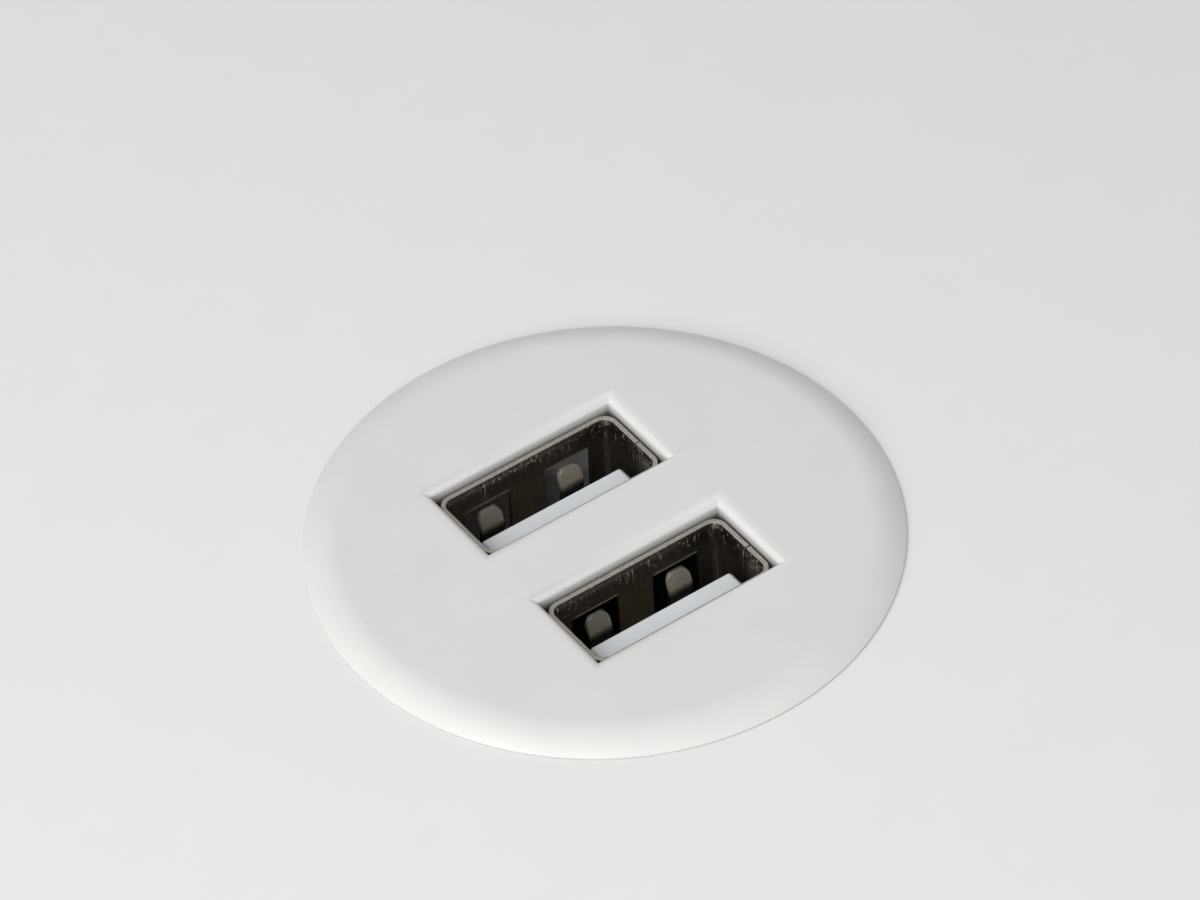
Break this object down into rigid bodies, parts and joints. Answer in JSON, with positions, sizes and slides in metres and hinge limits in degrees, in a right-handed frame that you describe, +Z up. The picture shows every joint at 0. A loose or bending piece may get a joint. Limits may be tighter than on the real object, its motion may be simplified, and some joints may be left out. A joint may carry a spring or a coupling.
{
  "type": "in-desk usb charger",
  "caption": "Round flush faceplate with side-by-side USB sockets over a threaded barrel that a ring nut clamps in a desk hole.",
  "frame": {"origin": "on the barrel's axis, at the height where the flange rests on the desk top", "axes": "+Z up out of the desk, +X along the long sides of the sockets, +Y from socket a to socket b"},
  "size_m": [0.038, 0.038, 0.039],
  "materials": {
    "faceplate_plastic": "off-white moulded plastic, fine satin texture",
    "barrel_plastic": "off-white moulded plastic",
    "nut_plastic": "off-white moulded plastic",
    "washer_plastic": "pale grey plastic",
    "shell_steel": "nickel-plated formed sheet, worn and dull inside",
    "spring_steel": "nickel-plated spring sheet, rubbed near its tip",
    "tongue_plastic": "cool white engineering plastic",
    "contact_gilt": "gilt spring strip",
    "tinned_metal": "tinned metal",
    "board_laminate": "dark green solder mask over laminate",
    "screw_steel": "zinc-plated steel",
    "grommet_rubber": "black soft rubber",
    "ferrite": "dark pressed ferrite",
    "can_aluminium": "bare aluminium can",
    "chip_plastic": "black moulding compound",
    "fuse_plastic": "dark green polymer",
    "ceramic_tan": "tan ceramic",
    "header_nylon": "natural nylon"
  },
  "bodies": {
    "housing": {"barrel": "barrel_plastic", "board_screws": "screw_steel", "buck_converter_chip": "chip_plastic", "cable_grommet": "grommet_rubber", "chip_capacitors": "ceramic_tan", "chip_resistors": "chip_plastic", "contact_tails_a": "tinned_metal", "contact_tails_b": "tinned_metal", "faceplate": "faceplate_plastic", "inductor_terminals": "tinned_metal", "input_capacitor_base": "chip_plastic", "input_capacitor_can": "can_aluminium", "main_board": "board_laminate", "output_capacitor_bases": "chip_plastic", "output_capacitor_cans": "can_aluminium", "port_controller_chips": "chip_plastic", "power_inductor": "ferrite", "rear_cap": "barrel_plastic", "rear_cap_screws": "screw_steel", "receptacle_insulator_a": "tongue_plastic", "receptacle_insulator_b": "tongue_plastic", "receptacle_shell_a": "shell_steel", "receptacle_shell_b": "shell_steel", "resettable_fuse": "fuse_plastic", "schottky_diode": "chip_plastic", "supply_header": "header_nylon", "supply_header_pins": "tinned_metal"},
    "slip_washer": {"slip_washer": "washer_plastic"},
    "ring_nut": {"ring_nut": "nut_plastic"},
    "gap_side_springs_a_body": {"gap_side_springs_a": "spring_steel"},
    "tongue_side_springs_a_body": {"tongue_side_springs_a": "spring_steel"},
    "contact_springs_a_body": {"contact_springs_a": "contact_gilt"},
    "gap_side_springs_b_body": {"gap_side_springs_b": "spring_steel"},
    "tongue_side_springs_b_body": {"tongue_side_springs_b": "spring_steel"},
    "contact_springs_b_body": {"contact_springs_b": "contact_gilt"}
  },
  "joints": [
    {"name": "washer_slide", "type": "slide", "parent": "housing", "child": "slip_washer", "axis": [0, 0, 1], "range_m": [-0.0131, 0.0091]},
    {"name": "nut_turn", "type": "hinge", "parent": "slip_washer", "child": "ring_nut", "pos_m": [0, 0, -0.024], "axis": [0, 0, 1], "range_deg": [-1560, 1080]},
    {"name": "gap_side_springs_a_flex", "type": "hinge", "parent": "housing", "child": "gap_side_springs_a_body", "pos_m": [0, -0.00316, -0.00855], "axis": [-1, 0, 0], "range_deg": [0, 4.5], "stiffness_Nm_per_rad": 0.4},
    {"name": "tongue_side_springs_a_flex", "type": "hinge", "parent": "housing", "child": "tongue_side_springs_a_body", "pos_m": [0, -0.00859, -0.00855], "axis": [1, 0, 0], "range_deg": [0, 4.5], "stiffness_Nm_per_rad": 0.4},
    {"name": "contact_springs_a_flex", "type": "hinge", "parent": "housing", "child": "contact_springs_a_body", "pos_m": [0, -0.00626, -0.00915], "axis": [1, 0, 0], "range_deg": [0, 4], "stiffness_Nm_per_rad": 0.28},
    {"name": "gap_side_springs_b_flex", "type": "hinge", "parent": "housing", "child": "gap_side_springs_b_body", "pos_m": [0, 0.00859, -0.00855], "axis": [-1, 0, 0], "range_deg": [0, 4.5], "stiffness_Nm_per_rad": 0.4},
    {"name": "tongue_side_springs_b_flex", "type": "hinge", "parent": "housing", "child": "tongue_side_springs_b_body", "pos_m": [0, 0.00316, -0.00855], "axis": [1, 0, 0], "range_deg": [0, 4.5], "stiffness_Nm_per_rad": 0.4},
    {"name": "contact_springs_b_flex", "type": "hinge", "parent": "housing", "child": "contact_springs_b_body", "pos_m": [0, 0.00549, -0.00915], "axis": [1, 0, 0], "range_deg": [0, 4], "stiffness_Nm_per_rad": 0.28}
  ],
  "couplings": [
    {"joint": "washer_slide", "follows": "nut_turn", "m_per_rad": 0.00047746}
  ]
}
